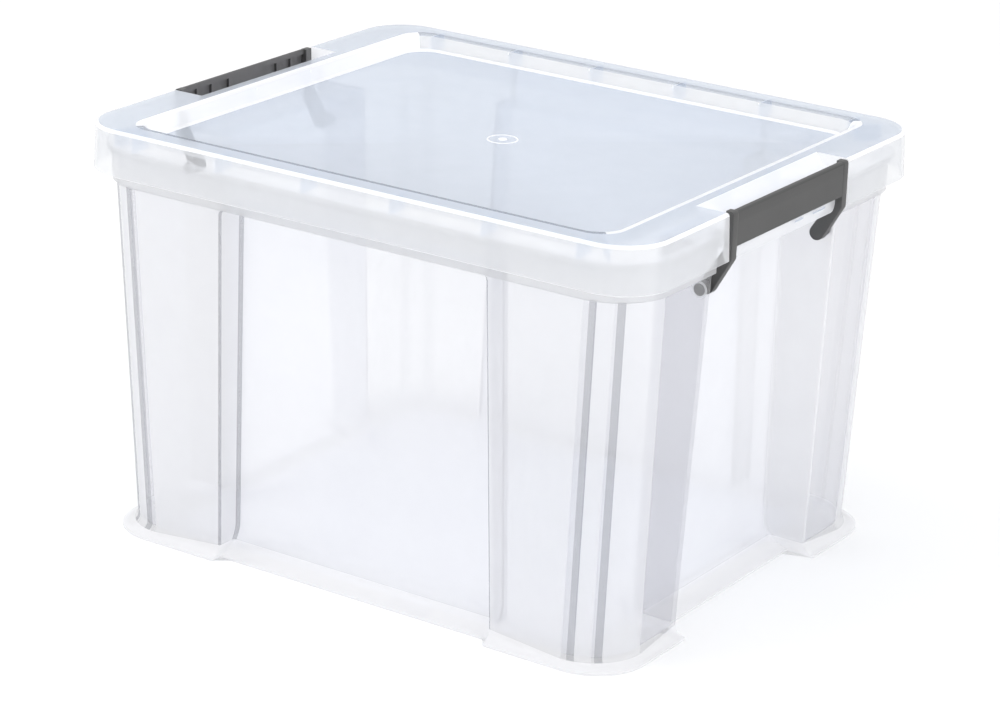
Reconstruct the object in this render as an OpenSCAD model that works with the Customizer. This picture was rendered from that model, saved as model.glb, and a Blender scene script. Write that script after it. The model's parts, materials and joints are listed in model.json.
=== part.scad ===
// Stackable storage bin: a clear tub, a clear lid and two clip handles.
// X runs along the long side, Y across, Z up. The origin is the middle of the
// base, on the ground. Every length is in millimetres.

/* [Overall] */
// Length of the lid, the longest outside size
lid_l = 480; // [440:10:560]
// Width of the lid
lid_w = 390; // [340:10:440]
// Height of the closed bin
bin_h = 312; // [270:2:360]
// Wall thickness of the tub and the lid
wall = 2.4; // [2:0.1:2.6]

/* [Lid] */
// Outer corner radius of the lid
lid_corner_r = 38; // [34:1:46]
// Height of the skirt around the lid
skirt_h = 34; // [32:1:38]
// Width of the flat rim at each end
rim_end_w = 39.5; // [38:0.5:44]
// Width of the flat rim at the front and the back
rim_side_w = 21.5; // [20:0.5:26]
// Depth of the centre panel below the rim
panel_depth = 12; // [8:0.5:13]
// Number of ribs under each long rim
rib_count = 6; // [2:1:8]

/* [Tub] */
// Gap from the lid's edge to the column faces, at the ends, at the top
end_setback = 9; // [8:0.5:12]
// Gap from the lid's edge to the column faces, at the front, at the top
side_setback = 10; // [8:0.5:12]
// Inward slope of each end, from rim to ground
end_draft = 14; // [8:0.5:16]
// Inward slope of the front and of the back, from rim to ground
side_draft = 8; // [4:0.5:10]
// Half width of the recessed front panel at its top
front_recess_half = 112; // [90:1:120]
// Depth of the front and back recess at the top
front_recess_depth = 24.5; // [15:0.5:26]
// Depth of the end recess at the top
end_recess_depth = 43; // [40:0.5:44]
// How far a foot stands out from its column face
foot_flare = 8.5; // [4:0.5:9]

/* [Clip handle] */
// Half width of the pocket that a clip handle sits in
pocket_half = 82; // [70:1:86]
// Height of the clip plate
clip_h = 25.2; // [24:0.2:26]
// Depth of the hinge pin inward from the lid's edge
pivot_inset = 19; // [18:0.5:21]
// Drop of the hinge pin below the rim
pivot_drop = 56; // [54:0.5:60]
// Hinge pin diameter
pin_d = 8.8; // [7:0.2:9]

/* [Hidden] */
$fn = 64;
eps = 0.1;
gap = 0.3;                       // clearance between separate pieces

// Heights
skirt_z = bin_h - skirt_h;
rim_z = bin_h - 15;              // top edge of the tub
pocket_z = rim_z + gap + wall;   // floor of the clip pocket in the lid
front_ledge_z = skirt_z - 9;     // top of the front and back recesses
end_ledge_z = rim_z - 13;        // top of the end recess
base_t = 3;                      // base flange
floor_z = base_t + wall;

// Tub outline at the ground and at the rim, as half sizes
top_x = lid_l / 2 - end_setback;
top_y = lid_w / 2 - side_setback;
bottom_x = top_x - end_draft;
bottom_y = top_y - side_draft;
tub_corner_r = lid_corner_r + 2;
foot_x = bottom_x + foot_flare + 1;
foot_y = bottom_y + foot_flare;
foot_corner_r = tub_corner_r + 2;
plinth_x = bottom_x - 12.5;      // base flange between the end feet
plinth_y = bottom_y;             // base flange between the front feet

// Recesses: [half width, distance of the panel from the middle], bottom then top
recess_spread = 7;               // a recess is wider at the ground than at the rim
front_low = [front_recess_half + recess_spread, top_y - front_recess_depth - 4];
front_high = [front_recess_half, top_y - front_recess_depth];
end_recess_half = pocket_half + 1.2;
end_low = [end_recess_half + recess_spread, top_x - end_recess_depth - 4.5];
end_high = [end_recess_half, top_x - end_recess_depth];
lip_w = 3.5;                     // the tub's rim lip
lip_h = 5;
collar_w = 1.5;                  // the band under the lip
notch_x = lid_l / 2 - 12;        // tub rim behind the clip plate
notch_half = pocket_half + wall + 0.8;

// Lid
inner_x = lid_l / 2 - rim_end_w; // opening in the rim, as half sizes
inner_y = lid_w / 2 - rim_side_w;
panel_slope = 4;                 // the recess wall leans in by this much
inner_r = 20;
panel_z = bin_h - panel_depth;
rib_t = 1.6;
rib_pitch = 75 * lid_l / 480 * 6 / rib_count;
end_rib_y = 33;
pocket_in = 27;                  // pocket width on the rim
pocket_lean = 7;

// Clip handle
plate_half = pocket_half - 3;
plate_t = 3.6;
skin_t = 1.4;
clip_x = lid_l / 2;              // outer face of the plate
strip_x = clip_x - plate_t - gap;
strip_half = pocket_half - 12;
strip_drop = 2;                  // the strip hangs this far below the skirt
leg_t = 6.5;                     // depth and width of each leg
leg_y = plate_half - leg_t;
band_h = 4;
clip_rib_t = 1.8;
clip_rib_y = [plate_half / 2, plate_half * 0.72];
clip_middle = plate_half / 4;    // half width of the plate's solid middle
pivot = [clip_x - pivot_inset, bin_h - pivot_drop];
boss_r = 5.5;
boss_end = end_recess_half - 0.9;
pin_end = end_recess_half + wall + 2;
pin_play = 0.1;                  // radial clearance around each pin

clear_plastic = [0.86, 0.89, 0.94, 0.45];
grey_plastic = [0.41, 0.41, 0.41];

// A rounded rectangle with half sizes x and y and corner radius r
module rounded(x, y, r) {
    square([2 * x, 2 * (y - r)], center = true);
    square([2 * (x - r), 2 * y], center = true);
    for (sx = [-1, 1], sy = [-1, 1])
        translate([sx * (x - r), sy * (y - r)]) circle(r);
}

module slab(x, y, r, z0, z1) {
    translate([0, 0, z0]) linear_extrude(z1 - z0) rounded(x, y, r);
}

module block(x0, x1, y0, y1, z0, z1) {
    translate([x0, y0, z0]) cube([x1 - x0, y1 - y0, z1 - z0]);
}

// Turns its children to face the right end and the left end
module both_ends() {
    for (turn = [0, 180]) rotate(turn) children();
}

// Places its children and their mirror image across the XZ plane
module both_sides() {
    children();
    mirror([0, 1, 0]) children();
}

// A profile drawn in X and Z, drawn out along Y from y0 to y1
module along_y(y0, y1) {
    translate([0, y1, 0]) rotate([90, 0, 0]) linear_extrude(y1 - y0) children();
}

// ---- Tub ----

// The tapered body of the tub, drawn in by inset, from z0 to z1
module tub_taper(inset, z0, z1) {
    x = bottom_x - inset;
    y = bottom_y - inset;
    slope = [(top_x - inset) / x, (top_y - inset) / y];
    intersection() {
        linear_extrude(bin_h, scale = slope, slices = 1)
            rounded(x, y, tub_corner_r - inset);
        slab(lid_l, lid_w, 1, z0, z1);
    }
}

// The space in front of a recessed panel that faces +X, larger by grow
module recess(low, high, top_z, grow) {
    far = lid_l;
    intersection() {
        rotate([90, 0, 90]) linear_extrude(far)
            polygon([
                [-low[0] - grow, 0],
                [low[0] + grow, 0],
                [high[0] + grow, top_z + grow],
                [-high[0] - grow, top_z + grow]
            ]);
        along_y(-far, far)
            polygon([
                [low[1] - grow, 0],
                [far, 0],
                [far, top_z + grow],
                [high[1] - grow, top_z + grow]
            ]);
    }
}

module recesses(grow) {
    both_ends() {
        recess(end_low, end_high, end_ledge_z, grow);
        rotate(90) recess(front_low, front_high, front_ledge_z, grow);
        block(notch_x - grow, lid_l, -notch_half - grow, notch_half + grow,
              skirt_z - 2 - grow, bin_h);
    }
}

// Collar and outward lip at the top edge, with the cavity's outline as its hole
module tub_rim() {
    difference() {
        union() {
            slab(top_x + collar_w, top_y + collar_w, tub_corner_r + collar_w,
                 front_ledge_z, rim_z);
            slab(top_x + collar_w + lip_w, top_y + collar_w + lip_w,
                 tub_corner_r + collar_w + lip_w, rim_z - lip_h, rim_z);
        }
        recesses(0);
    }
}

// Base flange: four feet joined by a narrower plinth, open in the middle
module tub_base() {
    linear_extrude(base_t) difference() {
        rounded(foot_x, foot_y, foot_corner_r);
        for (side = [-1, 1]) {
            translate([side * (plinth_x + foot_x), 0])
                square([2 * foot_x, 2 * end_low[0]], center = true);
            translate([0, side * (plinth_y + foot_y)])
                square([2 * front_low[0], 2 * foot_y], center = true);
        }
        rounded(end_low[1] - wall, front_low[1] - wall, inner_r);
    }
}

module tub_cavity() {
    difference() {
        tub_taper(wall, base_t, bin_h);
        recesses(wall);
    }
}

module pivot_hole() {
    translate([pivot[0], pin_end, pivot[1]]) rotate([90, 0, 0])
        cylinder(d = pin_d + 2 * pin_play, h = pin_end - boss_end);
}

module tub() {
    color(clear_plastic) difference() {
        union() {
            difference() {
                tub_taper(0, 0, rim_z);
                recesses(0);
                slab(end_low[1] - wall, front_low[1] - wall, inner_r, -eps, base_t);
            }
            tub_rim();
            tub_base();
        }
        difference() {
            tub_cavity();
            slab(end_low[1], front_low[1], inner_r, base_t - eps, floor_z);
        }
        both_ends() both_sides() pivot_hole();
    }
}

// ---- Lid ----

// The recessed centre: an open-topped tray, drawn in by inset
module lid_tray(inset, z0) {
    x = inner_x - panel_slope - inset;
    y = inner_y - panel_slope - inset;
    translate([0, 0, z0])
        linear_extrude(bin_h - z0 + eps,
                       scale = [(x + panel_slope) / x, (y + panel_slope) / y], slices = 1)
            rounded(x, y, inner_r);
}

// Profile of the clip pocket in the rim, moved outward into the wall by grow
module pocket_profile(grow) {
    polygon([
        [clip_x - pocket_in - grow, bin_h + eps],
        [clip_x - pocket_in + pocket_lean - grow, pocket_z - grow],
        [clip_x + eps, pocket_z - grow],
        [clip_x + eps, bin_h + eps]
    ]);
}

module lid_ribs() {
    for (i = [0 : rib_count - 1]) {
        x = (i - (rib_count - 1) / 2) * rib_pitch;
        both_sides() block(x - rib_t / 2, x + rib_t / 2, inner_y - panel_slope,
                           lid_w / 2 - wall / 2, rim_z + gap, bin_h - wall / 2);
    }
    both_ends() both_sides() {
        block(inner_x - panel_slope, clip_x - pocket_in, end_rib_y - rib_t / 2,
              end_rib_y + rib_t / 2, rim_z + gap, bin_h - wall / 2);
        translate([inner_x - inner_r, inner_y - inner_r, 0]) rotate(45)
            block(inner_r, inner_r + rim_side_w, -rib_t / 2, rib_t / 2,
                  rim_z + gap, bin_h - wall / 2);
    }
}

// Rim, skirt, tray and ribs, without the clip pockets
module lid_shell() {
    difference() {
        union() {
            difference() {
                slab(lid_l / 2, lid_w / 2, lid_corner_r, skirt_z, bin_h);
                difference() {
                    slab(lid_l / 2 - wall, lid_w / 2 - wall, lid_corner_r - wall,
                         skirt_z - eps, bin_h - wall);
                    lid_tray(-wall, panel_z - wall);
                }
            }
            lid_ribs();
        }
        lid_tray(0, panel_z);
    }
}

// The pocket's own walls, and the strip of skirt that hangs between the legs
module pocket_walls() {
    along_y(-pocket_half - wall, pocket_half + wall)
        intersection() {
            pocket_profile(wall);
            translate([0, skirt_z]) square([clip_x, skirt_h]);
        }
    both_sides() block(strip_x - 2 * wall, clip_x, pocket_half, pocket_half + wall,
                       skirt_z, bin_h);
    block(strip_x - wall, strip_x, -strip_half, strip_half, skirt_z - strip_drop, pocket_z);
}

module lid() {
    color(clear_plastic) difference() {
        union() {
            difference() {
                lid_shell();
                both_ends() block(strip_x - wall, lid_l, -pocket_half, pocket_half,
                                  skirt_z - eps, bin_h - wall - eps);
            }
            both_ends() pocket_walls();
        }
        both_ends() {
            along_y(-pocket_half, pocket_half) pocket_profile(0);
            block(strip_x, lid_l, -pocket_half, pocket_half, 0, bin_h + eps);
            both_sides() block(clip_x - leg_t - gap, lid_l, strip_half, pocket_half,
                               0, bin_h + eps);
        }
    }
}

// ---- Clip handle ----

// The plate with its top band and the pockets behind it
module clip_plate() {
    difference() {
        block(clip_x - plate_t, clip_x, -plate_half, plate_half, bin_h - clip_h, bin_h);
        difference() {
            block(clip_x - plate_t - eps, clip_x - skin_t, -leg_y, leg_y,
                  bin_h - clip_h - eps, bin_h - band_h);
            block(clip_x - plate_t, clip_x, -clip_middle, clip_middle, 0, bin_h);
            for (y = clip_rib_y)
                both_sides() block(clip_x - plate_t, clip_x, y - clip_rib_t / 2,
                                   y + clip_rib_t / 2, 0, bin_h);
        }
    }
}

// One leg: down beside the strip, then in and down to the hinge boss
module clip_leg() {
    knee = [clip_x, skirt_z];
    reach = norm(knee - pivot);
    lean = atan2(knee[1] - pivot[1], knee[0] - pivot[0]);
    tangent = acos(boss_r / reach);
    low_touch = pivot + boss_r * [cos(lean - tangent), sin(lean - tangent)];
    high_touch = pivot + boss_r * [cos(lean + 90), sin(lean + 90)];
    block(clip_x - leg_t, clip_x, leg_y, plate_half, skirt_z, bin_h - band_h);
    block(clip_x - leg_t, clip_x, leg_y, plate_half, bin_h - band_h - eps, bin_h);
    along_y(leg_y, plate_half)
        polygon([knee, low_touch, pivot, high_touch, [clip_x - leg_t, skirt_z + leg_t]]);
    translate([pivot[0], boss_end, pivot[1]]) rotate([90, 0, 0])
        cylinder(r = boss_r, h = boss_end - leg_y);
    translate([pivot[0], pin_end, pivot[1]]) rotate([90, 0, 0])
        cylinder(d = pin_d, h = pin_end - leg_y);
}

module clip_handle() {
    color(grey_plastic) {
        clip_plate();
        both_sides() clip_leg();
    }
}

module clip_handle_right() {
    clip_handle();
}

module clip_handle_left() {
    rotate(180) clip_handle();
}

tub();
lid();
clip_handle_right();
clip_handle_left();
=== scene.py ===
"""Looks for the stackable storage bin: a clear tub, a clear lid and two grey clip handles.

Shapes are worked out in millimetres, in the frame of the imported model, and turned into
metres when a mesh is made. X runs along the long side, Y across and Z up. The tub and the
lid are lofted from rings of points, and the clip handles are joined from small solids.
"""

import json
import math
from dataclasses import dataclass

import bmesh
import bpy
from mathutils import Matrix, Vector


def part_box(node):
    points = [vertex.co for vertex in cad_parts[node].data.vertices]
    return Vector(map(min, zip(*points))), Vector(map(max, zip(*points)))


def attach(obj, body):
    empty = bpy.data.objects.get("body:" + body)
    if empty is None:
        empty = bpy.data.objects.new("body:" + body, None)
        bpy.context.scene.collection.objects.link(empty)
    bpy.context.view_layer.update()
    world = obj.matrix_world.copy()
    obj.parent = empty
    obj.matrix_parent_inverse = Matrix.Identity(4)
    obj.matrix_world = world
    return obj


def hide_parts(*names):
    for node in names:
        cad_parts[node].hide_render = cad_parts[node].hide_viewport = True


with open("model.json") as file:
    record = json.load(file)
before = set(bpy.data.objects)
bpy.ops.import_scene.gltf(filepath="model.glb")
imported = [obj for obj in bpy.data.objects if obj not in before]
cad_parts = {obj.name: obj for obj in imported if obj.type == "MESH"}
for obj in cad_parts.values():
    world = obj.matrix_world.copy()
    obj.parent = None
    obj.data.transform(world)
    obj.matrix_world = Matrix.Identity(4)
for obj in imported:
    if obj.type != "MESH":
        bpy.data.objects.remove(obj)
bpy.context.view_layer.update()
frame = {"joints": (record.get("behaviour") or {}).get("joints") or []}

MM = 0.001
WELD = 0.004                # points closer than this become one
SHARP_ANGLE = 32            # degrees between faces above which an edge stays crisp


def node_box(name):
    """Lowest and highest corner of a CAD node, in millimetres."""
    low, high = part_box(name)
    return low / MM, high / MM


# ---- Sizes, from the frame ----

tub_high = node_box("tub")[1]
lid_low, lid_high = node_box("lid")
clip_high = node_box("clip_handle_right")[1]
hinge = next(j for j in frame["joints"] if j["name"] == "clip_right_hinge")
pivot = Vector(hinge["pos_m"]) / MM

wall = 2.4
gap = 0.3                               # play between the lid and the tub's rim
bin_h = lid_high.z
skirt_h = 34
rim_z = tub_high.z                      # top edge of the tub
skirt_z = bin_h - skirt_h               # lower edge of the lid's skirt
mid_z = 150                             # height of a plain ring half way up the walls
ledge_side_z = skirt_z - 9              # top of the front and back recesses
ledge_end_z = rim_z - 13                # top of the end recesses
floor_z = 5.4
floor_curve = 6                         # radius between the walls and the floor, inside
flange_z = 2.2                          # thickness of the base flange at its edge
flange_base_z = 3.0                     # underside of the floor

lip_w = 3.5
collar_w = 1.5
lip_x, lip_y = tub_high.x, tub_high.y
collar_x, collar_y = lip_x - lip_w, lip_y - lip_w
top_x, top_y = collar_x - collar_w, collar_y - collar_w
end_draft, side_draft = 14, 8           # how far each wall leans in towards the base
bottom_x, bottom_y = top_x - end_draft, top_y - side_draft
corner_r = 40
foot_flare = 9.0
# Each pair below is a value at the ground and at the top of the bin
end_recess = (47.5, 43)                 # depth of the end recess, in from the top of the wall
end_panel = (top_x - end_recess[0], top_x - end_recess[1])
end_half = (90.2, 83.2)                 # half width of the end recess
side_recess = (28.5, 24.5)
side_panel = (top_y - side_recess[0], top_y - side_recess[1])
side_half = (119, 112)
plinth_flare = 20.5                     # sweep of a recessed panel out to the plinth
notch_x = lid_high.x - 12               # tub rim behind the clip plate
notch_half = end_half[1] + 2
side_ledge_r, end_ledge_r = 4, 3        # rounding under the top of each recess
fillet_r = 2.4                          # where a recess wall meets its panel
bend_r = 1.6                            # where a recess wall meets the column's face
hole_r = 20                             # corner radius of the opening in the base
pin_hole_r = 4.5
pin_ring_w, pin_ring_rise = 1.4, 0.5
pin_wall_y = end_half[0] + (end_half[1] - end_half[0]) * pivot.z / bin_h


# ---- Mesh helpers ----

def arc(cx, cy, r, start, end, steps):
    """Points along an arc, from start to end in degrees, both ends included."""
    angles = [math.radians(start + (end - start) * i / steps) for i in range(steps + 1)]
    return [(cx + r * math.cos(a), cy + r * math.sin(a)) for a in angles]


def all_round(quarter):
    """A closed ring from the points of one quarter, which runs from the X to the Y axis."""
    flip_x = [(-x, y, z) for x, y, z in reversed(quarter)]
    half = quarter + flip_x[1:]
    flip_y = [(x, -y, z) for x, y, z in reversed(half)]
    return half + flip_y[1:-1]


def add_loft(bm, rings, look):
    """Joins closed rings of equal length with quads and closes both ends.

    look(k, i) is the material number of the face between rings k and k + 1 at station i.
    """
    rows = [[bm.verts.new(p) for p in ring] for ring in rings]
    count = len(rows[0])
    for k in range(len(rows) - 1):
        for i in range(count):
            j = (i + 1) % count
            face = bm.faces.new((rows[k][i], rows[k][j], rows[k + 1][j], rows[k + 1][i]))
            face.material_index = look(k, i)
    bm.faces.new(list(reversed(rows[0]))).material_index = look(0, 0)
    bm.faces.new(rows[-1]).material_index = look(len(rows) - 2, 0)


def add_prism(bm, outline, low, high, axis, look=0, bevel=0.0):
    """A closed solid: a 2-D outline drawn out along one axis, from low to high."""
    def place(u, v, w):
        return {"x": (w, u, v), "y": (u, w, v), "z": (u, v, w)}[axis]

    ends = [[bm.verts.new(place(u, v, w)) for u, v in outline] for w in (low, high)]
    count = len(outline)
    faces = [bm.faces.new(list(reversed(ends[0]))), bm.faces.new(ends[1])]
    for i in range(count):
        j = (i + 1) % count
        faces.append(bm.faces.new((ends[0][i], ends[0][j], ends[1][j], ends[1][i])))
    for face in faces:
        face.material_index = look
    if bevel:
        rims = [e for e in faces[0].edges] + [e for e in faces[1].edges]
        bmesh.ops.bevel(bm, geom=rims, offset=bevel, segments=2, profile=0.6,
                        affect="EDGES", clamp_overlap=True)


def add_box(bm, low, high, look=0, bevel=0.0):
    """A box between two opposite corners."""
    outline = [(low[0], low[1]), (high[0], low[1]), (high[0], high[1]), (low[0], high[1])]
    add_prism(bm, outline, low[2], high[2], "z", look, bevel)


def add_tube(bm, centre, outer_r, inner_r, y0, y1, look=0, steps=40):
    """A ring round the Y axis through centre (x, z)."""
    outer = arc(centre[0], centre[1], outer_r, 0, 360, steps)[:-1]
    inner = arc(centre[0], centre[1], inner_r, 0, 360, steps)[:-1]
    rows = [[bm.verts.new((u, w, v)) for u, v in ring]
            for ring, w in ((outer, y0), (outer, y1), (inner, y1), (inner, y0))]
    for k in range(4):
        for i in range(steps):
            j = (i + 1) % steps
            quad = (rows[k][i], rows[k][j], rows[(k + 1) % 4][j], rows[(k + 1) % 4][i])
            bm.faces.new(quad).material_index = look


def as_object(bm, name, materials):
    """Welds, orients and scales the mesh and makes the object for it."""
    bmesh.ops.remove_doubles(bm, verts=bm.verts, dist=WELD)
    bmesh.ops.dissolve_degenerate(bm, edges=bm.edges, dist=WELD)
    bmesh.ops.recalc_face_normals(bm, faces=bm.faces)
    bmesh.ops.scale(bm, vec=(MM, MM, MM), verts=bm.verts)
    mesh = bpy.data.meshes.new(name)
    bm.to_mesh(mesh)
    bm.free()
    for material in materials:
        mesh.materials.append(material)
    piece = bpy.data.objects.new(name, mesh)
    bpy.context.scene.collection.objects.link(piece)
    return piece


def smooth(piece):
    """Shades the piece smooth, apart from its sharp edges."""
    piece.data.shade_smooth()
    piece.data.set_sharp_from_angle(angle=math.radians(SHARP_ANGLE))


def combine(piece, other, operation):
    """Adds or cuts another object's solid, and deletes that object."""
    boolean = piece.modifiers.new("combine", "BOOLEAN")
    boolean.operation = operation
    boolean.solver = "EXACT"
    boolean.object = other
    depsgraph = bpy.context.evaluated_depsgraph_get()
    mesh = bpy.data.meshes.new_from_object(piece.evaluated_get(depsgraph))
    piece.modifiers.clear()
    piece.data = mesh
    bpy.data.objects.remove(other)


def join(piece, other):
    """Adds another object's closed mesh to the piece as it is, and deletes that object."""
    bm = bmesh.new()
    bm.from_mesh(piece.data)
    bm.from_mesh(other.data)
    bm.to_mesh(piece.data)
    bm.free()
    bpy.data.objects.remove(other)


def stand_for(piece, node, body):
    """Makes the piece stand for a CAD node: it rides on that node's body, and the node is hidden.
    """
    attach(piece, body)
    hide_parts(node)


# ---- Materials ----

SHADE = 0.3                 # share of lamp light that a fully milky surface holds back
TRANSLUCENT = 0.45           # share of the milky body that is translucent
CLOUD_SCALE, RIPPLE_SCALE, GRAIN_SCALE = 9, 26, 420
PLASTIC_IOR = 1.49
FAR_TINT = (0.985, 0.985, 0.99)     # tint of a clear face seen from behind


class Nodes:
    """A small helper that adds nodes to a material and links them."""

    def __init__(self, name):
        self.material = bpy.data.materials.new(name)
        self.material.use_nodes = True
        self.tree = self.material.node_tree
        self.tree.nodes.clear()

    def add(self, kind, **settings):
        node = self.tree.nodes.new("ShaderNode" + kind)
        for key, value in settings.items():
            setattr(node, key, value)
        return node

    def put(self, socket, value):
        if isinstance(value, bpy.types.NodeSocket):
            self.tree.links.new(value, socket)
        elif isinstance(value, tuple) and socket.type == "RGBA":
            socket.default_value = (*value, 1)
        else:
            socket.default_value = value

    def math(self, operation, a, b=0.0, clamp=False):
        node = self.add("Math", operation=operation, use_clamp=clamp)
        self.put(node.inputs[0], a)
        self.put(node.inputs[1], b)
        return node.outputs[0]

    def ramp(self, value, start, rise):
        """A value from 0 to 1 turned into start to start + rise."""
        node = self.add("Math", operation="MULTIPLY_ADD")
        self.put(node.inputs[0], value)
        node.inputs[1].default_value = rise
        node.inputs[2].default_value = start
        return node.outputs[0]

    def noise(self, scale, detail=3.0, roughness=0.5, stretch=(1, 1, 1)):
        place = self.add("TexCoord").outputs["Object"]
        mapping = self.add("Mapping")
        self.put(mapping.inputs["Vector"], place)
        mapping.inputs["Scale"].default_value = stretch
        node = self.add("TexNoise")
        self.put(node.inputs["Vector"], mapping.outputs[0])
        self.put(node.inputs["Scale"], scale)
        self.put(node.inputs["Detail"], detail)
        self.put(node.inputs["Roughness"], roughness)
        return node.outputs["Fac"]

    def colours(self, share, a, b):
        node = self.add("Mix", data_type="RGBA")
        self.put(node.inputs[0], share)
        self.put(node.inputs[6], a)
        self.put(node.inputs[7], b)
        return node.outputs[2]

    def shaders(self, share, a, b):
        node = self.add("MixShader")
        self.put(node.inputs[0], share)
        self.put(node.inputs[1], a)
        self.put(node.inputs[2], b)
        return node.outputs[0]

    def bump(self, height, strength, distance):
        node = self.add("Bump")
        self.put(node.inputs["Height"], height)
        self.put(node.inputs["Strength"], strength)
        self.put(node.inputs["Distance"], distance)
        return node.outputs[0]

    def finish(self, shader):
        self.put(self.add("OutputMaterial").inputs["Surface"], shader)
        return self.material


def clear_plastic(name, face_tint, edge_tint, veil, milk=(0.86, 0.86, 0.875), shine=0.75,
                  edge_power=3.0, painted_glow=0.0, far_fade=0.8):
    """Clear moulded plastic: tinted more where it is seen at a slant, under a milky veil.

    Tint and veil fade by far_fade on a face seen from behind, so far walls stay faint.
    """
    n = Nodes(name)
    slant = n.add("LayerWeight").outputs["Facing"]
    behind = n.math("MULTIPLY", n.add("NewGeometry").outputs["Backfacing"], far_fade)
    cloud = n.noise(CLOUD_SCALE, detail=4)
    ripple = n.bump(n.noise(RIPPLE_SCALE, detail=2), 0.05, 0.002)

    through = n.add("BsdfTransparent")
    tint = n.colours(n.math("POWER", slant, edge_power), face_tint, edge_tint)
    n.put(through.inputs["Color"], n.colours(behind, tint, FAR_TINT))

    surface = n.add("BsdfPrincipled")
    n.put(surface.inputs["Base Color"],
          n.colours(cloud, milk, tuple(0.95 * c for c in milk)))
    n.put(surface.inputs["Roughness"], n.ramp(n.noise(GRAIN_SCALE, detail=2), 0.3, 0.12))
    n.put(surface.inputs["IOR"], PLASTIC_IOR)
    n.put(surface.inputs["Normal"], ripple)
    # Painted light: the veil gives off a little light of its own, in its milky colour.
    n.put(surface.inputs["Emission Color"], milk)
    n.put(surface.inputs["Emission Strength"], painted_glow)
    inside = n.add("BsdfTranslucent")
    n.put(inside.inputs["Color"], milk)
    body = n.shaders(TRANSLUCENT, surface.outputs[0], inside.outputs[0])
    share = n.ramp(cloud, 0.82 * veil, 0.35 * veil)
    share = n.math("MULTIPLY", share, n.ramp(behind, 1.0, -1.0))
    body = n.shaders(share, through.outputs[0], body)

    gloss = n.add("BsdfGlossy")
    n.put(gloss.inputs["Roughness"], 0.07)
    n.put(gloss.inputs["Normal"], ripple)
    mirror = n.ramp(n.math("POWER", slant, 5.0), 0.04 * shine, 0.9 * shine)
    mirror = n.math("MULTIPLY", mirror, n.ramp(behind, 1.0, -0.9))
    body = n.shaders(mirror, body, gloss.outputs[0])

    lamp_side = n.add("BsdfTransparent")
    n.put(lamp_side.inputs["Color"], tuple(c * (1 - SHADE * veil) for c in face_tint))
    return n.finish(n.shaders(n.add("LightPath").outputs["Is Shadow Ray"], body,
                              lamp_side.outputs[0]))


def grey_plastic(name, dark, light):
    """Mid grey moulded plastic with a fine satin grain; sharp edges take a fixed painted-highlight
    grey.
    """
    n = Nodes(name)
    cloud = n.noise(30, detail=5)
    grain = n.noise(1800, detail=2)
    edge_sharpness = n.add("NewGeometry").outputs["Pointiness"]
    # Painted highlight: sharp convex edges blend to a fixed grey of 0.1.
    edge = n.math("MULTIPLY", n.math("SUBTRACT", edge_sharpness, 0.52, clamp=True), 6.0, clamp=True)
    base = n.colours(cloud, (dark, dark, dark), (light, light, light))
    colour = n.colours(edge, base, (0.1, 0.1, 0.1))
    plastic = n.add("BsdfPrincipled")
    n.put(plastic.inputs["Base Color"], colour)
    n.put(plastic.inputs["Roughness"], n.ramp(cloud, 0.4, 0.16))
    n.put(plastic.inputs["Normal"], n.bump(grain, 0.25, 0.0003))
    return n.finish(plastic.outputs[0])


TUB_CLEAR, TUB_RIM, TUB_PAINTED_DARK_LINE, TUB_PAINTED_SHADE, TUB_MILK, TUB_PAINTED_LIGHT = range(6)
LID_CLEAR, LID_PAINTED_HIGHLIGHT, LID_LILAC, LID_PAINTED_DARK_LINE, LID_PAINTED_LIGHT, LID_SKIRT = range(6)
# The paler clip look is painted light on the plate's inward faces.
CLIP_BACK_PAINTED_LIGHT = 1               # number of the paler look in clip_looks

tub_looks = [
    # Painted light: a faint glow in the veil.
    clear_plastic("tub_clear", (0.988, 0.988, 0.992), (0.92, 0.925, 0.94), 0.34,
                  milk=(0.91, 0.91, 0.925), painted_glow=0.02),
    # A darker, greyer veil: painted shade on the collar and lip, which sit under the lid's skirt.
    clear_plastic("tub_rim", (0.89, 0.89, 0.895), (0.78, 0.785, 0.8), 0.55,
                  milk=(0.69, 0.69, 0.695)),
    # Painted shade: a dark tint for the lines along the front and back recess bends and the flute
    # steps.
    clear_plastic("tub_painted_dark_line", (0.58, 0.585, 0.6), (0.48, 0.49, 0.53), 0.15, edge_power=2.5),
    # Painted shade: a greyer tint on the columns' end faces, the flute slopes and the inner recess
    # walls.
    clear_plastic("tub_painted_shade", (0.87, 0.87, 0.88), (0.77, 0.77, 0.8), 0.09,
                  milk=(0.8, 0.8, 0.82), far_fade=0.4),
    clear_plastic("tub_milk", (0.94, 0.94, 0.945), (0.85, 0.855, 0.87), 0.42,
                  milk=(0.87, 0.87, 0.885)),
    # Painted light: a whiter veil with a glow, on the base, the floor, the inner panels and the pin
    # rings.
    clear_plastic("tub_painted_light", (0.985, 0.985, 0.99), (0.94, 0.945, 0.96), 0.6,
                  milk=(0.93, 0.93, 0.945), painted_glow=0.06),
]
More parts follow.
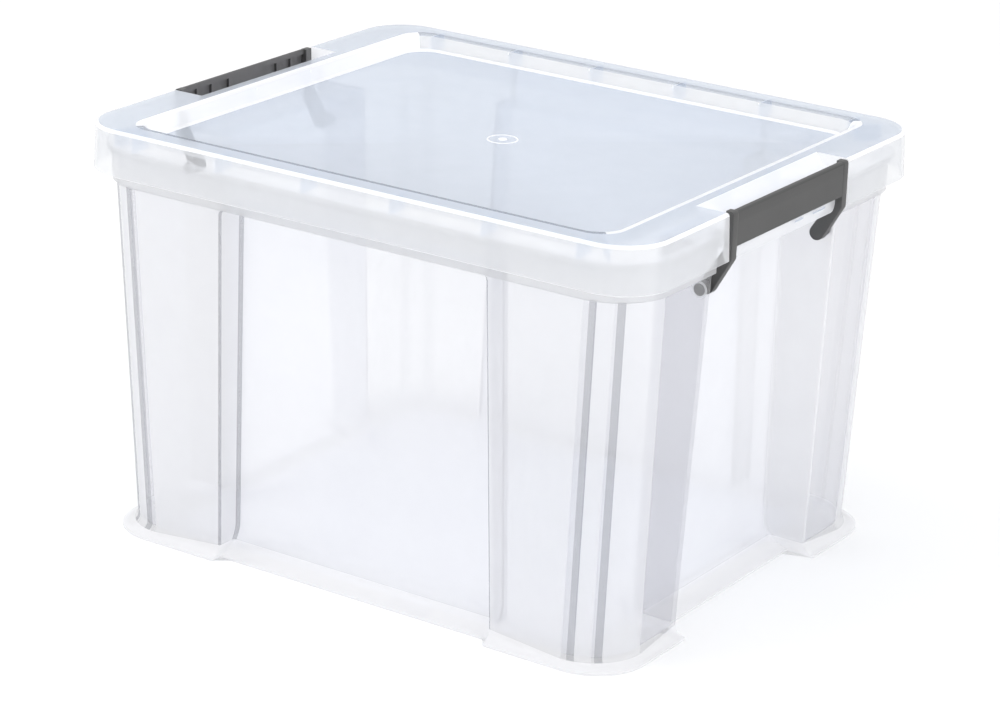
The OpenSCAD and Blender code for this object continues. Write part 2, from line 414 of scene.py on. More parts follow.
lid_looks = [
    clear_plastic("lid_clear", (0.9, 0.93, 0.975), (0.74, 0.8, 0.89), 0.44,
                  milk=(0.66, 0.715, 0.79)),
    # Painted highlight: a glowing white veil on edges, ribs, pocket sides, the strip and the gate
    # mark.
    clear_plastic("lid_painted_highlight", (0.99, 0.99, 1.0), (0.95, 0.96, 0.98), 0.8,
                  milk=(0.93, 0.93, 0.94), painted_glow=0.25, far_fade=0.3),
    # Lilac, with a painted glow; only the left pocket's floor takes it.
    clear_plastic("lid_lilac", (0.97, 0.965, 0.985), (0.9, 0.89, 0.94), 0.5,
                  milk=(0.91, 0.89, 0.94), painted_glow=0.12),
    # Painted shade: a dark line along the brink at the front and back of the rim.
    clear_plastic("lid_painted_dark_line", (0.78, 0.81, 0.85), (0.4, 0.45, 0.52), 0.1, edge_power=1.2,
                  far_fade=0.0),
    # Painted light: a whiter veil with a strong glow, on the tray's end walls and the right pocket.
    clear_plastic("lid_painted_light", (0.98, 0.985, 1.0), (0.92, 0.94, 0.97), 0.7,
                  milk=(0.93, 0.94, 0.96), painted_glow=0.35),
    # A brighter, neutral veil; on the lid's underside it is painted light where shade falls.
    clear_plastic("lid_skirt", (0.965, 0.97, 0.975), (0.86, 0.87, 0.89), 0.42,
                  milk=(0.88, 0.885, 0.895)),
]
# The second, paler grey is painted light on the plate's inward faces; the clip is one grey plastic.
clip_looks = [grey_plastic("clip_grey", 0.051, 0.059), grey_plastic("clip_back_painted_light", 0.1, 0.115)]


# ---- Tub ----

FLUTE_EDGE = 2.0            # degrees that the steep side of a flute takes up
FLUTES = ((2, 14, 1.6), (33, 42, 1.2))   # start and deepest angle, and depth
ROUND_STEPS = 4             # steps in each recess fillet and bend
SWEEP_STEPS = 7             # steps in the sweep from the base flange to the walls
LEDGE_STEPS = 4             # rings in the rounding under the top of a recess
FLOOR_STEPS = 4             # steps in the inner curve down to the floor
PANEL_FACES = 2             # flat faces from the middle of a recess to its fillet
RECESS_FACES = PANEL_FACES + 2 * ROUND_STEPS + 1    # on to the end of its bend
ZONE = RECESS_FACES + 1     # faces from the middle of an end or side to its corner
FOOT_SHARPEN = 0.8          # share of a foot's flare that its corner radius doesn't follow


def ramp(value, start, end):
    """0 before start, 1 after end and a smooth rise between them."""
    t = min(max((value - start) / (end - start), 0.0), 1.0)
    return t * t * (3 - 2 * t)


def sweep(reach, z):
    """How far the concave sweep at the foot of a wall stands out, at height z."""
    left = 1 - (z - flange_z) / reach
    if left <= 0:
        return 0.0
    return reach * (1 - math.sqrt(1 - min(left, 1.0) ** 2))


def flute_depth(angle):
    """Depth of the corner flutes at an angle from the front or back, in degrees."""
    for start, deepest, depth in FLUTES:
        if start < angle <= deepest:
            return depth * (angle - start) / (deepest - start)
        if deepest < angle < deepest + FLUTE_EDGE:
            return depth * (1 - (angle - deepest) / FLUTE_EDGE)
    return 0.0


def corner_angles():
    """Angles of the corner's points, from the end round to the front."""
    marks = set(range(0, 91, 5))
    for start, deepest, _ in FLUTES:
        marks |= {start, deepest - 3 * FLUTE_EDGE, deepest, deepest + FLUTE_EDGE}
    return sorted(marks, reverse=True)


@dataclass
class Level:
    """One ring of the tub: heights of its end, corner and side, and its outline there."""

    end_z: float
    corner_z: float
    side_z: float
    size: str = "wall"          # wall, collar or lip
    end: str = "open"           # open, notched or closed
    side: str = "open"          # open or closed
    inset: float = 0.0          # offset of the whole outline towards the inside
    creep_end: float = 0.0      # how far the end recess has closed in a fillet
    creep_side: float = 0.0
    trim: float = 0.0           # rounding of an outer edge

    def between(self, pair, z):
        return pair[0] + (pair[1] - pair[0]) * z / bin_h

    def faces(self, z):
        """Distances of the end and side faces of the columns at height z."""
        take = self.inset + self.trim
        if self.size == "lip":
            return lip_x - take, lip_y - take
        if self.size == "collar":
            return collar_x - take, collar_y - take
        out = 0.0 if self.inset else sweep(foot_flare, z)
        return (self.between((bottom_x, top_x), z) + out - take,
                self.between((bottom_y, top_y), z) + out - take)

    def panel(self, panel, z):
        out = 0.0 if self.inset else sweep(plinth_flare, z)
        return self.between(panel, z) + out - self.inset - self.trim

    def half_width(self, half, z):
        return self.between(half, z) + self.inset + self.trim

    def radii(self):
        """Radii of the concave fillets and of the convex bends."""
        return fillet_r + self.inset, max(bend_r - self.inset, 0.6)

    def end_points(self):
        """From the middle of the end to the column's face."""
        face, _ = self.faces(self.end_z)
        q = self.panel(end_panel, self.end_z) + self.creep_end
        c = self.half_width(end_half, self.end_z) - self.creep_end
        fillet, bend = self.radii()
        inner_x = min(notch_x - self.inset, face)
        step_y = notch_half + self.inset
        nick = 0.5
        if self.end == "closed":
            across = [c * share for share in (0, 0.5, 0.9, 0.92, 0.94, 0.96, 0.98)]
            points = [(inner_x, y) for y in across]
        else:
            points = [(q, 0), (q, (c - fillet) / 2)]
            points += arc(q + fillet, c - fillet, fillet, 180, 90, ROUND_STEPS)
        if self.end == "open":
            return points + arc(face - bend, c + bend, bend, -90, 0, ROUND_STEPS)
        return points + [(inner_x - nick, c), (inner_x, c + nick), (inner_x, step_y),
                         (max(face - nick, inner_x), step_y), (face, step_y + nick)]

    def side_points(self):
        """From the column's face to the middle of the side."""
        _, face = self.faces(self.side_z)
        p = self.panel(side_panel, self.side_z) + self.creep_side
        a = self.half_width(side_half, self.side_z) - self.creep_side
        fillet, bend = self.radii()
        if self.side == "open":
            points = arc(a + bend, face - bend, bend, 90, 180, ROUND_STEPS)
            points += arc(a - fillet, p + fillet, fillet, 0, -90, ROUND_STEPS)
            return points + [((a - fillet) / 2, p), (0, p)]
        spread = 2 * ROUND_STEPS + 1
        points = [(a + bend - (fillet + bend) * i / spread, face) for i in range(spread + 1)]
        return points + [((a - fillet) / 2, face), (0, face)]

    def corner_points(self):
        x, y = self.faces(self.corner_z)
        r = corner_r + (x - self.between((bottom_x, top_x), self.corner_z))
        if not self.inset:
            r -= FOOT_SHARPEN * sweep(foot_flare, self.corner_z)
        fluted = self.size == "wall" and not self.trim
        fade = ramp(self.corner_z, 3, 18) if fluted else 0.0
        points = []
        for angle in corner_angles():
            reach = r - fade * flute_depth(angle)
            turn = math.radians(angle)
            points.append((x - r + reach * math.sin(turn), y - r + reach * math.cos(turn)))
        return points

    def ring(self):
        quarter = [(x, y, self.end_z) for x, y in self.end_points()]
        quarter += [(x, y, self.corner_z) for x, y in self.corner_points()]
        quarter += [(x, y, self.side_z) for x, y in self.side_points()]
        return all_round(quarter)


def plain_ring(x, y, r, z):
    """A rounded rectangle with the tub's stations, for the floor and the underside."""
    steps = 2 * ROUND_STEPS + 3
    shares = [i / steps for i in range(steps + 1)]
    quarter = [(x, (y - r) * share * 0.9, z) for share in shares]
    for angle in corner_angles():
        turn = math.radians(angle)
        quarter.append((x - r + r * math.sin(turn), y - r + r * math.cos(turn), z))
    quarter += [((x - r) * share * 0.9, y, z) for share in reversed(shares)]
    return all_round(quarter)


def sweep_levels():
    """The concave sweep from the base flange up to the walls."""
    levels = []
    for step in range(SWEEP_STEPS + 1):
        rise = 1 - math.cos(math.radians(90 * step / SWEEP_STEPS))
        plinth_z = flange_z + plinth_flare * rise
        levels.append(Level(plinth_z, flange_z + foot_flare * rise, plinth_z))
    return levels


def ledge_levels():
    """Outer walls from the sweep to the tub's rim, with both ledges."""
    high_end, high_side = ledge_end_z, ledge_side_z
    levels = [Level(60, 40, 60), Level(mid_z, mid_z, mid_z), Level(240, 260, high_side - 6)]
    for step in range(LEDGE_STEPS):
        turn = math.radians(30 * step)
        creep = side_ledge_r * (1 - math.cos(turn))
        side_z = high_side - side_ledge_r * (1 - math.sin(turn))
        end_z = high_side - 12 + 4 * step
        levels.append(Level(end_z, side_z, side_z, creep_side=creep))
    levels.append(Level(high_side, high_side, high_side, "collar", side="closed", trim=0.5))
    levels.append(Level(high_side + 0.5, high_side + 0.5, high_side + 0.5, "collar",
                        side="closed"))
    notch_z = skirt_z - 2
    for end in ("open", "notched"):
        levels.append(Level(notch_z, notch_z, notch_z, "collar", end, "closed"))
    for step in range(LEDGE_STEPS):
        turn = math.radians(30 * step)
        z = high_end - end_ledge_r * (1 - math.sin(turn))
        levels.append(Level(z, z, z, "collar", "notched", "closed",
                            creep_end=end_ledge_r * (1 - math.cos(turn))))
    levels.append(Level(high_end, high_end, high_end, "collar", "closed", "closed"))
    return levels


def rim_levels():
    """The collar's top, the lip and the rim's rounded top edge."""
    lip_z = rim_z - 5
    levels = [Level(lip_z, lip_z, lip_z, "collar", "closed", "closed")]
    for z, trim in ((lip_z, 0.6), (lip_z + 0.6, 0), (rim_z - 1.2, 0), (rim_z - 0.35, 0.35),
                    (rim_z, 1.2)):
        levels.append(Level(z, z, z, "lip", "closed", "closed", trim=trim))
    return levels


def inner_levels():
    """The inner surface, from the rim down to the floor."""
    closed_z = ledge_end_z + wall
    levels = []
    for z, inset in ((rim_z, wall - 0.8), (rim_z - 0.8, wall), (closed_z, wall)):
        levels.append(Level(z, z, z, end="closed", side="closed", inset=inset))
    notch_z = skirt_z - 2 - wall
    for z, end in ((closed_z, "notched"), (notch_z, "notched"), (notch_z, "open")):
        levels.append(Level(z, z, z, end=end, side="closed", inset=wall))
    side_z = ledge_side_z + wall
    levels.append(Level(side_z, side_z, side_z, side="closed", inset=wall))
    levels.append(Level(side_z, side_z, side_z, inset=wall))
    levels.append(Level(mid_z, mid_z, mid_z, inset=wall))
    for step in range(FLOOR_STEPS + 1):
        turn = math.radians(90 * step / FLOOR_STEPS)
        z = floor_z + floor_curve * (1 - math.sin(turn))
        levels.append(Level(z, z, z, inset=wall + floor_curve * (1 - math.cos(turn))))
    return levels


def corner_look(angle):
    """Material number at an angle of the corner: painted shade in each flute, darker at its step.
    """
    for start, deepest, _ in FLUTES:
        if deepest - 3 * FLUTE_EDGE < angle < deepest + FLUTE_EDGE:
            return TUB_PAINTED_DARK_LINE
        if start < angle < deepest:
            return TUB_PAINTED_SHADE
    return TUB_MILK


def quarter_looks():
    """Material numbers of the faces of one quarter, from the end round to the side."""
    panel = [TUB_CLEAR] * PANEL_FACES
    # The column's end face, the last face of the end, takes painted shade.
    end = panel + [TUB_MILK] * (RECESS_FACES - PANEL_FACES) + [TUB_PAINTED_SHADE]
    # The side recess's bend and fillet take painted dark lines; the end's take the milky look.
    turn = [TUB_PAINTED_DARK_LINE] * ROUND_STEPS
    side = [TUB_MILK] + turn + [TUB_MILK] + turn + panel
    angles = corner_angles()
    corner = [corner_look((high + low) / 2) for high, low in zip(angles, angles[1:])]
    return end + corner + side


def tub_levels():
    """Every ring of the tub as (points, level); the level is None on the floor's rings."""
    hole_x = end_panel[0] - wall
    hole_y = side_panel[0] - wall
    inner_x, inner_y = 0.8 * hole_x, 0.8 * hole_y
    rings = [(plain_ring(inner_x, inner_y, hole_r, flange_base_z), None),
             (plain_ring(hole_x, hole_y, hole_r, flange_base_z), None),
             (plain_ring(hole_x, hole_y, hole_r, 0), None)]
    for z, trim in ((0, 0.8), (0.8, 0)):
        level = Level(flange_z, flange_z, flange_z, trim=trim)
        rings.append(([(x, y, z) for x, y, _ in level.ring()], None))
    for level in sweep_levels() + ledge_levels() + rim_levels() + inner_levels():
        rings.append((level.ring(), level))
    rings.append((plain_ring(inner_x, inner_y, hole_r, floor_z), None))
    return rings


def build_tub():
    """The tub's shell with its pin holes, standing for the CAD tub."""
    rings = tub_levels()
    looks = quarter_looks()
    span = len(looks)

    def look(k, i):
        low, high = rings[k][1], rings[k + 1][1]
        place = i % (2 * span)
        place = min(place, 2 * span - 1 - place)
        # Painted light on the floor's rings, the inner panels, the floor's curve and the base's
        # sweep.
        if low is None or high is None:
            return TUB_PAINTED_LIGHT
        if high.inset:
            from_middle = min(place, span - 1 - place)
            if from_middle < PANEL_FACES or low.side_z <= floor_z + floor_curve:
                return TUB_PAINTED_LIGHT
            # Painted shade on the inner recess walls.
            return TUB_PAINTED_SHADE if from_middle < RECESS_FACES else TUB_CLEAR
        if high.side_z < flange_z + foot_flare:
            return TUB_PAINTED_LIGHT
        # Painted shade on the collar and lip, under the lid's skirt.
        if high.size != "wall" or low.size == "lip":
            return TUB_RIM
        if place < ZONE and "closed" in (low.end, high.end):
            return TUB_CLEAR
        if place >= span - ZONE and "closed" in (low.side, high.side):
            return TUB_CLEAR
        return looks[place]

    bm = bmesh.new()
    add_loft(bm, [points for points, _ in rings], look)
    tub = as_object(bm, "tub_moulding", tub_looks)
    cut_pin_holes(tub)
    add_pin_rings(tub)
    smooth(tub)
    stand_for(tub, "tub", "tub")
    return tub


def pin_places():
    """Centre (x, z) and outward Y direction of each of the four hinge pins."""
    return [((side_x * pivot.x, pivot.z), side_y) for side_x in (-1, 1) for side_y in (-1, 1)]


def cut_pin_holes(tub):
    """Cuts the four holes that the clip pins turn in."""
    holes = bmesh.new()
    for centre, side in pin_places():
        ends = sorted((side * (pin_wall_y - 4), side * (pin_wall_y + 8)))
        add_prism(holes, arc(*centre, pin_hole_r, 0, 360, 40)[:-1], *ends, "y")
    combine(tub, as_object(holes, "pin_holes", []), "DIFFERENCE")


def add_pin_rings(tub):
    """A raised ring round each pin hole, on the inside of the column's wall."""
    bm = bmesh.new()
    for centre, side in pin_places():
        inner_y = pin_wall_y + wall
        ends = sorted((side * (inner_y - 0.1), side * (inner_y + pin_ring_rise)))
        # The rings take the painted-light look.
        add_tube(bm, centre, pin_hole_r + pin_ring_w, pin_hole_r, *ends, TUB_PAINTED_LIGHT)
    join(tub, as_object(bm, "pin_rings", tub_looks))


# ---- Lid ----

RIB_NARROW = 60             # area of the largest of a rib's narrow faces, in mm2
EDGE_STEPS = 4              # faces in the rounded edge between the rim and the skirt
SKIRT_BANDS = 4             # rings on the outside of the skirt
PANEL_BANDS = 3             # rings under the panel
POCKET_FACES = 2            # flat faces from the middle of a pocket to its side wall
GATE_FLAT = 3               # number of the face between the gate mark's centre and its ring
# Numbers of faces of the upper surface, counted outwards from the panel
TRAY_WALL = 2
BRINK = (3, 4, 5)           # the rounded brink and the flat strip beside it
POCKET_START = 7
lid_r = 38                  # corner radius of the skirt
skirt_draft = 1.6
tray_x, tray_y = lid_high.x - 39.5, lid_high.y - 21.5   # opening in the rim
tray_r = 20
tray_slope = 4
panel_z = bin_h - 12
pocket_half = clip_high.y - 5.6         # half width; the pins reach 5.6 past it
pocket_floor_z = rim_z + gap + wall
pocket_edge_x = clip_high.x - 6.8       # outer edge of the pocket's floor
pocket_foot_x = clip_high.x - 20        # lower end of its slope
pocket_head_x = clip_high.x - 27        # upper end of its slope
under_z = bin_h - wall
rib_inset = 1.2             # how far a rib runs past the opening's edge and a pocket's head
side_rib_pitch = 75 * lid_high.x / 240
side_rib_count = 6
end_rib_y = 33


@dataclass
class Band:
    """One ring of the lid: half sizes, corner radius and height, and its pocket profile."""

    x: float
    y: float
    r: float
    z: float
    pocket: tuple = None        # (x, z) where the ring runs through a clip pocket
    cut: float = pocket_half    # half width of the pocket on this ring

    def ring(self):
        low_x, low_z = self.pocket or (self.x, self.z)
        quarter = [(low_x, 0, low_z), (low_x, self.cut / 2, low_z), (low_x, self.cut, low_z)]
        quarter.append((self.x, self.cut, self.z))
        for x, y in arc(self.x - self.r, self.y - self.r, self.r, 0, 90, 18):
            quarter.append((x, y, self.z))
        quarter.append((0, self.y, self.z))
        return all_round(quarter)


def skirt_band(inset, z, pocket, cut=pocket_half):
    """A band of the skirt, drafted so that it narrows towards the top."""
    draft = skirt_draft * (z - skirt_z) / (bin_h - skirt_z)
    take = inset + draft
    return Band(lid_high.x - take, lid_high.y - take, lid_r - take, z, pocket, cut)


def tray_band(inset, z, pocket=None, cut=pocket_half):
    """A band of the sunken centre's wall at height z, drawn in by inset."""
    lean = tray_slope * (bin_h - z) / (bin_h - panel_z)
    take = inset + lean
    return Band(tray_x - take, tray_y - take, tray_r, z, pocket, cut)


def lid_top_bands():
    """The upper surface, from the skirt's edge to the centre panel."""
    edge, floor = pocket_edge_x, pocket_floor_z
    bands = [skirt_band(0.7, skirt_z, (edge - 0.4, floor - wall)),
             skirt_band(0, skirt_z + 0.7, (edge, floor - wall + 0.4)),
             skirt_band(0, skirt_z + 14, (edge, floor - 1.2)),
             skirt_band(0, bin_h - 2.2, (edge, floor - 0.5))]
    for step in range(1, EDGE_STEPS + 1):
        share = step / EDGE_STEPS
        turn = math.radians(90 * share)
        bands.append(skirt_band(2.2 * (1 - math.cos(turn)), bin_h - 2.2 * (1 - math.sin(turn)),
                                (edge - 0.5 * share, floor - 0.5 * (1 - share))))
    middle = (lid_high.y + tray_y) / 2
    slope = ((pocket_foot_x + 1.5, floor), (pocket_foot_x - 0.4, floor + 0.8),
             (pocket_head_x + 0.5, bin_h - 0.9), (pocket_head_x - 0.8, bin_h))
    for step, (x, z) in enumerate(slope):
        bands.append(Band(x, middle + 4 - 2 * step, 34, bin_h, (x, z)))
    bands += [tray_band(-4.5, bin_h), tray_band(-1.3, bin_h), tray_band(-0.4, bin_h - 0.35),
              tray_band(0, bin_h - 1.3), tray_band(0, panel_z + 1.6),
              tray_band(0.45, panel_z + 0.45), tray_band(1.6, panel_z)]
    return bands


def gate_bands():
    """The small round gate mark in the middle of the panel."""
    rings = []
    for radius, lift in ((11.6, 0), (11.3, 0.3), (10.5, 0.3), (10.2, 0), (3.4, 0), (3.0, 0.5),
                         (1.7, 0.6), (0.8, 0.6)):
        rings.append(Band(radius, radius, radius, panel_z + lift, cut=0.0))
    return rings


def lid_under_bands():
    """The lower surface, from the centre out to the skirt's inner edge."""
    floor = pocket_floor_z - wall
    cut = pocket_half + wall
    edge = pocket_edge_x
    middle = (lid_high.y + tray_y) / 2
    bands = [Band(tray_x * 0.7, tray_y * 0.7, tray_r, panel_z - wall, cut=cut),
             tray_band(-1.0, panel_z - wall, cut=cut),
             tray_band(-wall, panel_z - wall + 1.0, cut=cut),
             tray_band(-wall, under_z, cut=cut)]
    slope = ((pocket_head_x - 1.4, under_z), (pocket_head_x - 1.2, under_z - 0.4),
             (pocket_foot_x - 2.1, floor + 1.2), (pocket_foot_x - 1.0, floor))
    for step, (x, z) in enumerate(slope):
        bands.append(Band(x, middle - 2 + 2 * step, 34, under_z, (x, z), cut))
    bands += [skirt_band(wall + 1, under_z, (edge - 2.5, floor), cut),
              skirt_band(wall, under_z - 1, (edge - 1.5, floor), cut),
              skirt_band(wall, skirt_z + 0.7, (edge - 1.0, floor), cut),
              skirt_band(wall - 0.7, skirt_z, (edge - 0.7, floor), cut)]
    return bands


def build_lid():
    """The lid's shell with its ribs and strips, standing for the CAD lid."""
    top = lid_top_bands()
    gate = gate_bands()
    under = lid_under_bands()
    bands = list(reversed(gate)) + list(reversed(top)) + list(reversed(under))
    rings = [band.ring() for band in bands]
    count = len(rings[0])
    top_start = len(gate)
    skirt_start = top_start + len(top) - SKIRT_BANDS

    def from_right(i):
        return min(i, count - 1 - i)

    def from_left(i):
        return min(abs(i - count // 2), abs(i + 1 - count // 2))

    def on_end(i):
        x, y, _ = rings[top_start][i]
        return abs(x) / tray_x > abs(y) / tray_y

    def pocket_look(i):
        """Material number in a pocket, or None at a station outside both pockets."""
        # Painted highlight on each pocket's side walls; the left floor is lilac with a painted
        # glow, the right takes painted light.
        if POCKET_FACES in (from_right(i), from_left(i)):
            return LID_PAINTED_HIGHLIGHT
        if from_left(i) < POCKET_FACES:
            return LID_LILAC
        return LID_PAINTED_LIGHT if from_right(i) < POCKET_FACES else None

    def look(k, i):
        step = k - top_start
        if step < 0:
            # Painted highlight on the gate mark's rings; its flats stay clear.
            return LID_CLEAR if k in (GATE_FLAT, top_start - 1) else LID_PAINTED_HIGHLIGHT
        if k >= top_start + len(top):
            # The underside takes the brighter skirt look, painted light where shade falls under the
            # lid; under the panel it stays clear.
            return LID_SKIRT if k < len(bands) - PANEL_BANDS else LID_CLEAR
        if step >= POCKET_START and pocket_look(i) is not None:
            return pocket_look(i)
        # Painted light on the tray's end walls; the front and back walls take the skirt's look.
        if step == TRAY_WALL:
            return LID_PAINTED_LIGHT if on_end(i) else LID_SKIRT
        # The brink takes a painted highlight on the ends and a painted dark line along the front
        # and back.
        if step in BRINK:
            return LID_PAINTED_HIGHLIGHT if on_end(i) else LID_PAINTED_DARK_LINE
        rounded_edge = skirt_start - EDGE_STEPS <= k < skirt_start
        lower_edge = k == skirt_start + SKIRT_BANDS - 2
        # Painted highlight on the foot of the tray wall, the rounded edge and the skirt's lower
        # edge.
        if step < TRAY_WALL or rounded_edge or lower_edge:
            return LID_PAINTED_HIGHLIGHT
        return LID_SKIRT if k >= skirt_start else LID_CLEAR

    bm = bmesh.new()
    add_loft(bm, rings, look)
    shell_faces = len(bm.faces)
    add_lid_ribs(bm)
    bm.faces.ensure_lookup_table()
    # Painted highlight on the ribs' narrow faces; their broad faces stay clear.
    for face in bm.faces[shell_faces:]:
        face.material_index = LID_PAINTED_HIGHLIGHT if face.calc_area() < RIB_NARROW else LID_CLEAR
    lid = as_object(bm, "lid_moulding", lid_looks)
    for side_x in (-1, 1):
        join(lid, strip_solid(side_x))
    smooth(lid)
    stand_for(lid, "lid", "lid")
    return lid


def add_lid_ribs(bm):
    """Thin ribs under the rim: six along each side, two on each end, one in each corner."""
    low, high, half = rim_z + gap, under_z + 0.3, 0.7
    reach = lid_high.y - skirt_draft - wall + 0.3
    for side_y in (-1, 1):
        for step in range(side_rib_count):
            x = (step - (side_rib_count - 1) / 2) * side_rib_pitch
            ys = sorted((side_y * (tray_y - rib_inset), side_y * reach))
            add_box(bm, (x - half, ys[0], low), (x + half, ys[1], high))
        for side_x in (-1, 1):
            xs = sorted((side_x * (tray_x - rib_inset), side_x * (pocket_head_x - rib_inset)))
            y = end_rib_y * side_y
            add_box(bm, (xs[0], y - half, low), (xs[1], y + half, high))
            add_corner_rib(bm, side_x, side_y, low, high, half)


def add_corner_rib(bm, side_x, side_y, low, high, half):
    """A rib under one corner of the rim, at 45 degrees to the sides."""
    start = tray_r + 1.0
    end = tray_r + 21.5
    outline = [(start, -half), (end, -half), (end, half), (start, half)]
    turned = []
    for u, v in outline:
        x = tray_x - tray_r + (u - v) * math.sqrt(0.5)
        y = tray_y - tray_r + (u + v) * math.sqrt(0.5)
        turned.append((side_x * x, side_y * y))
    add_prism(bm, turned, low, high, "z")


strip_half = pocket_half - 12.3
strip_set_back = 3.9        # from the clip's face to the strip's
strip_t = 2.9
strip_r = 5
strip_slots = ((13, 25), (38, 56))      # start and end of each slot, from the middle
slot_low, slot_high = 5.4, 6.6          # heights above the strip's lower edge


def strip_solid(side_x):
    """The strip that hangs from the pocket floor between the legs, with two thin slots."""
    half, low, high = strip_half, lid_low.z, pocket_floor_z - 0.6
    outer_x = clip_high.x - strip_set_back
    r = strip_r
    outline = arc(-half + r, low + r, r, 180, 270, 6) + arc(half - r, low + r, r, 270, 360, 6)
    outline += [(half, high), (-half, high)]
    xs = sorted((side_x * (outer_x - strip_t), side_x * outer_x))
    bm = bmesh.new()
    add_prism(bm, outline, *xs, "x", LID_SKIRT, bevel=0.5)
    # Painted highlight on the strip's inner face and lower edge.
    for face in bm.faces:
        middle = face.calc_center_median()
        if abs(middle.x) < outer_x - 0.3 or middle.z < low + 1:
            face.material_index = LID_PAINTED_HIGHLIGHT
    strip = as_object(bm, "strip", lid_looks)
    slots = bmesh.new()
    for start, end in strip_slots:
        ys = sorted((side_x * start, side_x * end))
        add_box(slots, (xs[0] - 1, ys[0], low + slot_low), (xs[1] + 1, ys[1], low + slot_high))
    combine(strip, as_object(slots, "strip_slots", lid_looks), "DIFFERENCE")
    return strip


# ---- Clip handles ----

plate_h = 25.2
plate_half = pocket_half - 3
plate_t = 3.6               # thickness at the top band, the ribs and the solid middle
skin_t = 1.4                # thickness between them
band_h = 4                  # height of the top band
back_rib_shares = (-0.72, -0.5, 0.5, 0.72)      # places of the ribs, as shares of plate_half
back_rib_half = 0.9
leg_depth = 6.2             # of a leg, from the plate's face inwards
leg_w = 6.5
boss_r = 5.5                # round end of a leg, about its pin


def clip_solids():
    """The solids that one clip handle is joined from, each in its own mesh."""
    x1, z1 = clip_high.x, clip_high.z
    hair = 0.12                 # keeps faces of neighbouring solids from lying in one plane
    plate_z = z1 - plate_h
    skin_x = x1 - skin_t
    back_x = x1 - plate_t
    band_z = z1 - band_h
    leg_x = x1 - leg_depth
    leg_y = plate_half - leg_w
    boss_y = pocket_half + 0.3
    edge_r = 2
    solids = []

    def solid():
        solids.append(bmesh.new())
        return solids[-1]

    front_x = x1 - hair
    profile = [(front_x, plate_z)]
    profile += arc(front_x - edge_r, z1 - hair - edge_r, edge_r, 0, 90, 5)
    profile += [(back_x, z1 - hair), (back_x, band_z), (skin_x, band_z), (skin_x, plate_z)]
    add_prism(solid(), profile, -plate_half + 0.5, plate_half - 0.5, "y")
    # middle and half width of each stretch where the plate is solid
    backing = [(0, plate_half / 4)]
    backing += [(share * plate_half, back_rib_half) for share in back_rib_shares]
    for y, half in backing:
        add_box(solid(), (back_x + hair, y - half, plate_z + hair),
                (skin_x + 0.4, y + half, band_z + 0.5))

    reach = math.hypot(x1 - pivot.x, skirt_z - pivot.z)
    lean = math.degrees(math.atan2(skirt_z - pivot.z, x1 - pivot.x))
    tangent = math.degrees(math.acos(boss_r / reach))
    leg = [(x1, skirt_z)] + arc(x1 - edge_r, z1 - edge_r, edge_r, 0, 90, 5)
    leg += [(leg_x, z1), (leg_x, skirt_z + leg_w)]
    leg += arc(pivot.x, pivot.z, boss_r, lean + 90, lean - tangent + 360, 16)
    for side in (-1, 1):
        add_prism(solid(), leg, *sorted((side * leg_y, side * plate_half)), "y", bevel=0.5)
        boss = arc(pivot.x, pivot.z, boss_r - 0.8, 0, 360, 40)[:-1]
        add_prism(solid(), boss, *sorted((side * (leg_y + 1), side * boss_y)), "y", bevel=0.3)
        pin = arc(pivot.x, pivot.z, pin_hole_r - 0.1, 0, 360, 32)[:-1]
        add_prism(solid(), pin, *sorted((side * (leg_y + 2), side * clip_high.y)), "y", bevel=0.6)
    return solids


def build_clip(name, node, body, turned):
    """One clip handle, joined into one solid; the left one is the right one turned round.

    The inward faces of the plate get their own paler grey: painted light on the plate's back.
    """
    meshes = clip_solids()
    clip = as_object(meshes[0], name, clip_looks)
    for index, bm in enumerate(meshes[1:]):
        combine(clip, as_object(bm, f"{name}_part_{index}", clip_looks), "UNION")
    back = (clip_high.x - leg_depth) * MM
    # Painted light: the plate's inward faces above the skirt take the paler grey.
    for face in clip.data.polygons:
        faces_in = face.normal.x < -0.5 and face.center.x > back
        if faces_in and face.center.z > skirt_z * MM:
            face.material_index = CLIP_BACK_PAINTED_LIGHT
    if turned:
        clip.data.transform(Matrix.Rotation(math.pi, 4, "Z"))
    smooth(clip)
    stand_for(clip, node, body)
    return clip


# ---- Floor, light and camera ----

FLOOR_HALF = 6000           # half width of the floor


def build_floor():
    """A wide sheet of pale paper."""
    bm = bmesh.new()
    bmesh.ops.create_grid(bm, x_segments=8, y_segments=8, size=FLOOR_HALF)
    n = Nodes("floor_paper")
    paper = n.add("BsdfPrincipled")
    n.put(paper.inputs["Base Color"], n.colours(n.noise(3), (0.83, 0.83, 0.83), (0.85, 0.85, 0.85)))
    n.put(paper.inputs["Roughness"], 0.9)
    n.put(paper.inputs["Specular IOR Level"], 0.1)
    floor = as_object(bm, "floor", [n.finish(paper.outputs[0])])


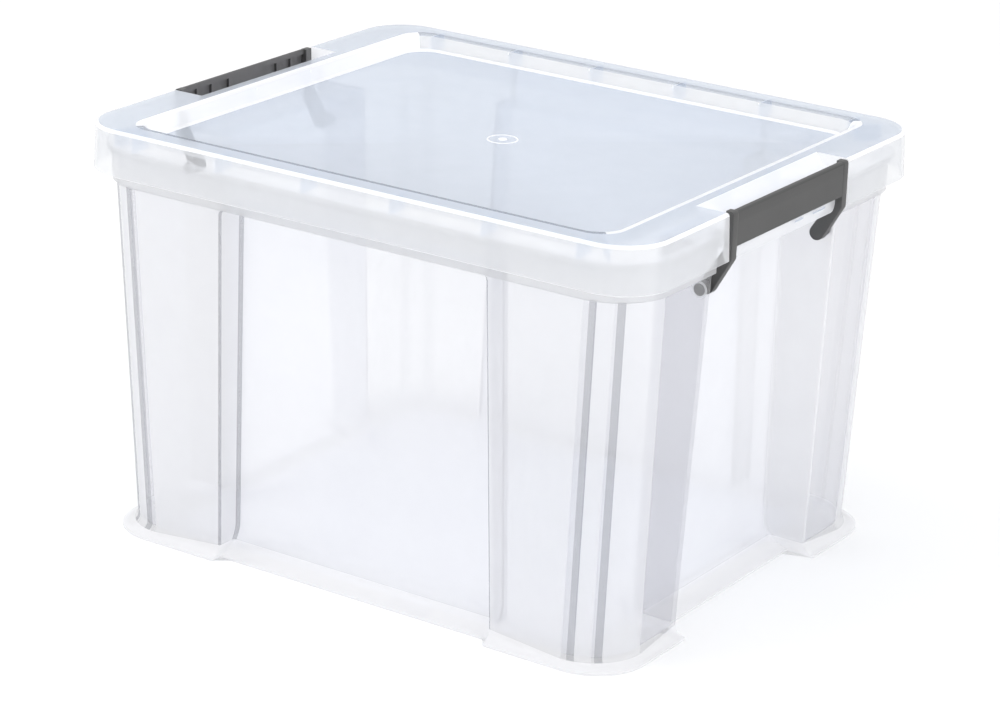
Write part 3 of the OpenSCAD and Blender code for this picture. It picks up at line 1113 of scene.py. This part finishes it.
def build_world():
    """White for the camera, and a soft sky that darkens towards the horizon for reflections."""
    world = bpy.data.worlds.new("studio")
    bpy.context.scene.world = world
    world.use_nodes = True
    tree = world.node_tree
    tree.nodes.clear()
    place = tree.nodes.new("ShaderNodeTexCoord")
    split = tree.nodes.new("ShaderNodeSeparateXYZ")
    tree.links.new(place.outputs["Generated"], split.inputs[0])
    sky = tree.nodes.new("ShaderNodeValToRGB")
    sky.color_ramp.elements[0].position = 0.0
    sky.color_ramp.elements[0].color = (0.76, 0.765, 0.78, 1)
    sky.color_ramp.elements[1].position = 0.6
    sky.color_ramp.elements[1].color = (1.12, 1.12, 1.12, 1)
    tree.links.new(split.outputs["Z"], sky.inputs[0])
    path = tree.nodes.new("ShaderNodeLightPath")
    pick = tree.nodes.new("ShaderNodeMix")
    pick.data_type = "RGBA"
    tree.links.new(path.outputs["Is Camera Ray"], pick.inputs[0])
    tree.links.new(sky.outputs[0], pick.inputs[6])
    pick.inputs[7].default_value = (1, 1, 1, 1)
    background = tree.nodes.new("ShaderNodeBackground")
    tree.links.new(pick.outputs[2], background.inputs["Color"])
    output = tree.nodes.new("ShaderNodeOutputWorld")
    tree.links.new(background.outputs[0], output.inputs["Surface"])


def add_softbox(name, place, size, power):
    """A square soft light at place, in metres, facing the middle of the bin."""
    light = bpy.data.lights.new(name, "AREA")
    light.shape = "SQUARE"
    light.size = size
    light.energy = power
    lamp = bpy.data.objects.new(name, light)
    lamp.location = place
    lamp.visible_glossy = False
    aim = Vector((0, 0, bin_h * MM / 2)) - Vector(place)
    lamp.rotation_mode = "QUATERNION"
    lamp.rotation_quaternion = aim.to_track_quat("-Z", "Y")
    bpy.context.scene.collection.objects.link(lamp)


def add_camera():
    """A long lens from the front right, a little above the bin and slightly rolled."""
    azimuth, elevation, roll = (math.radians(a) for a in (33.8, 19.9, 1.67))
    distance, lens = 2.445, 121.3       # metres from the aim, and focal length in mm
    aim = Vector((0.025, -0.0326, 0.150))
    back = Vector((math.sin(azimuth) * math.cos(elevation),
                   -math.cos(azimuth) * math.cos(elevation), math.sin(elevation)))
    data = bpy.data.cameras.new("camera")
    data.lens = lens
    data.sensor_width = 36
    data.clip_end = 50
    camera = bpy.data.objects.new("camera", data)
    turn = (-back).to_track_quat("-Z", "Y").to_matrix().to_4x4()
    camera.matrix_world = (Matrix.Translation(aim + back * distance) @ turn
                           @ Matrix.Rotation(roll, 4, "Z"))
    bpy.context.scene.collection.objects.link(camera)
    bpy.context.scene.camera = camera


def build_studio():
    """Floor, surroundings, two soft lamps and the colour settings."""
    build_floor()
    build_world()
    add_softbox("key", place=(-1.3, -1.2, 2.5), size=1.8, power=28)
    add_softbox("fill", place=(2.4, -0.6, 1.6), size=1.4, power=16)
    scene = bpy.context.scene
    scene.view_settings.view_transform = "Standard"
    scene.cycles.max_bounces = 12
    scene.cycles.transparent_max_bounces = 48


build_tub()
build_lid()
build_clip("clip_handle_right_moulding", "clip_handle_right", "clip_right", turned=False)
build_clip("clip_handle_left_moulding", "clip_handle_left", "clip_left", turned=True)
build_studio()
add_camera()
